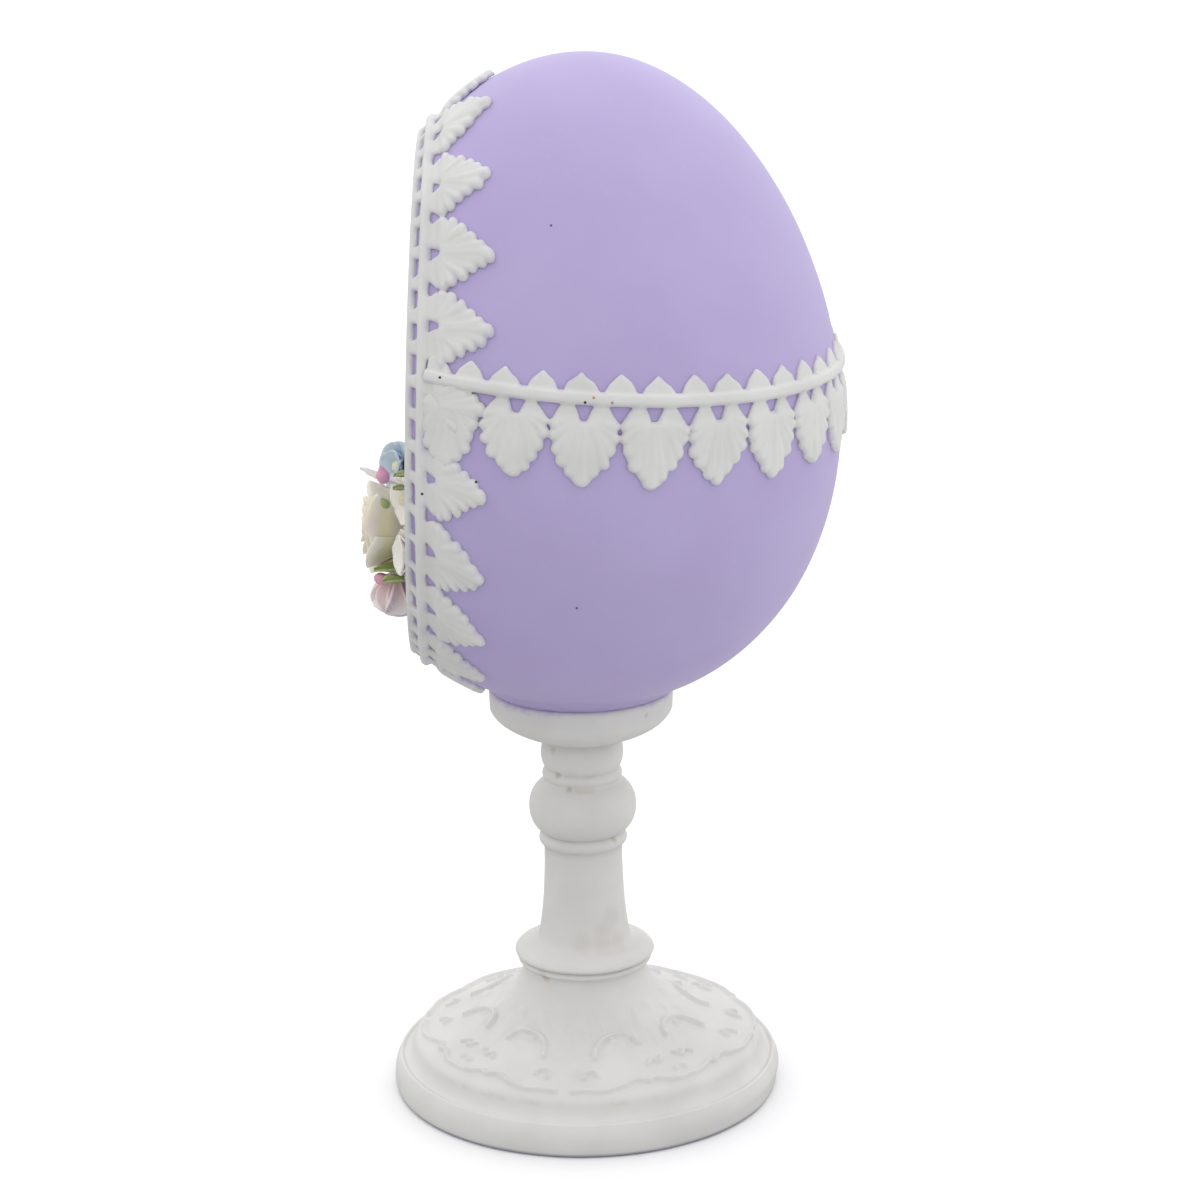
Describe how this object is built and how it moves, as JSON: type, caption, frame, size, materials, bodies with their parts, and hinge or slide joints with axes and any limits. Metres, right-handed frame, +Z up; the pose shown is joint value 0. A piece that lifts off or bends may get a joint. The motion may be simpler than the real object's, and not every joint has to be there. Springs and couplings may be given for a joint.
{
  "type": "sugar egg on pedestal",
  "caption": "Upright lilac display egg with a flat front, white moulded icing lace round the front and the middle, an icing flower spray, and a turned white pedestal.",
  "frame": {"origin": "centre of the foot's underside, on the surface that it stands on", "axes": "+Z is up along the pedestal, -Y is the flat front of the egg with the flowers, +X is the side that the picture shows"},
  "size_m": [0.1212, 0.109, 0.2432],
  "materials": {
    "white_cast": "matt white casting with faint stains in the recesses",
    "lilac_coat": "smooth semi-matt lilac coat",
    "white_icing": "matt white moulded icing",
    "cream_icing": "matt cream petals, yellower inside",
    "blue_icing": "matt pale blue petals",
    "blush_icing": "matt very pale pink petals",
    "pink_icing": "matt pink",
    "green_icing": "matt leaf green"
  },
  "bodies": {
    "root": {"pedestal": "white_cast", "egg": "lilac_coat", "lace": "white_icing", "cream_rose": "cream_icing", "blue_flower": "blue_icing", "white_flower": "white_icing", "pink_flower": "blush_icing", "blush_flower": "pink_icing", "small_white_flower": "white_icing", "upper_leaf": "green_icing", "lower_leaf": "green_icing", "side_leaf": "green_icing", "upper_bud": "pink_icing", "middle_bud": "green_icing", "lower_bud": "pink_icing"}
  },
  "joints": []
}
